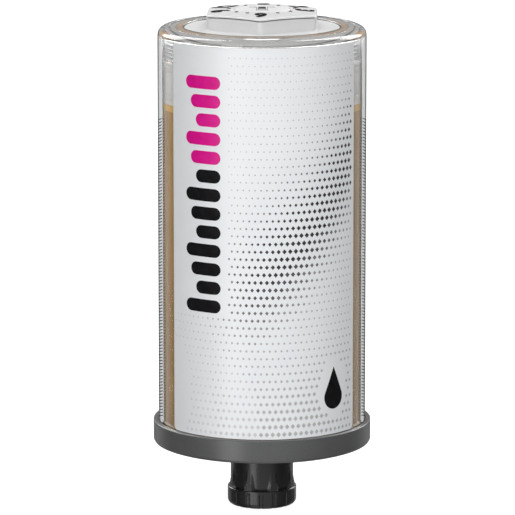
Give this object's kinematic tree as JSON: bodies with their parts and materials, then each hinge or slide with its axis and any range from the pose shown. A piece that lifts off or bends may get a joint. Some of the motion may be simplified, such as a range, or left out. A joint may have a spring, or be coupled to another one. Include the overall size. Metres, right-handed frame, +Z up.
{
  "type": "automatic lubricator",
  "caption": "Single-point automatic lubricator: clear grease cartridge with a gas-driven piston, a setting dial in its hexagonal head, and a capped threaded outlet.",
  "frame": {"origin": "centre of the screw cap's flat end, below the outlet thread that the part hangs on or stands on in use", "axes": "+Z up along the cartridge's axis, from the outlet cap to the drive head; -Y towards the printed front panel"},
  "size_m": [0.0544, 0.0544, 0.1253],
  "materials": {
    "clear_plastic": "clear gloss moulding",
    "grey_plastic": "satin moulding",
    "seal_rubber": "matt",
    "black_plastic": "satin moulding",
    "liner": "matt foam",
    "front_print": "satin printed film",
    "rear_print": "satin printed film",
    "white_plastic": "satin moulding",
    "gasket_rubber": "matt",
    "dial_plastic": "satin moulding",
    "spring_steel": "bright",
    "contact_brass": "bright",
    "board": "solder mask",
    "components": "matt",
    "carrier_plastic": "matt",
    "cell_steel": "nickel plate",
    "membrane": "fine filter felt",
    "piston_plastic": "translucent moulding",
    "seal_silicone": "matt",
    "grease": "smooth grease"
  },
  "bodies": {
    "cartridge": {"housing": "clear_plastic", "base": "grey_plastic", "base_seal": "seal_rubber", "front_label": "front_print", "rear_label": "rear_print", "head_body": "white_plastic", "head_seal": "gasket_rubber", "circuit_board": "board", "board_parts": "components", "cell_carrier": "carrier_plastic", "gas_cell_left": "cell_steel", "gas_cell_right": "cell_steel", "cell_contact_top": "spring_steel", "cell_contact_bottom": "spring_steel", "generator_cover": "white_plastic", "gas_membrane": "membrane", "grease_fill": "grease"},
    "dial": {"setting_dial": "dial_plastic", "dial_seal": "seal_rubber", "dial_clip": "spring_steel", "dial_wiper": "contact_brass"},
    "plunger": {"piston": "piston_plastic", "piston_seal_lower": "seal_silicone", "piston_seal_upper": "seal_silicone"},
    "liner": {"cap_liner": "liner"},
    "cap": {"closure_cap": "black_plastic"}
  },
  "joints": [
    {"name": "dial_turn", "type": "hinge", "parent": "cartridge", "child": "dial", "pos_m": [0, 0, 0.1236], "axis": [0, 0, -1], "range_deg": [0, 330]},
    {"name": "piston_travel", "type": "slide", "parent": "cartridge", "child": "plunger", "axis": [0, 0, -1], "range_m": [0, 0.081], "deforming": ["grease_fill"]},
    {"name": "cap_travel", "type": "slide", "parent": "cartridge", "child": "liner", "axis": [0, 0, -1], "range_m": [0, 0.00936]},
    {"name": "cap_turn", "type": "hinge", "parent": "liner", "child": "cap", "pos_m": [0, 0, 0.008], "axis": [0, 0, -1], "range_deg": [0, 2520]}
  ],
  "couplings": [
    {"joint": "cap_travel", "follows": "cap_turn", "m_per_rad": 0.00021279}
  ]
}
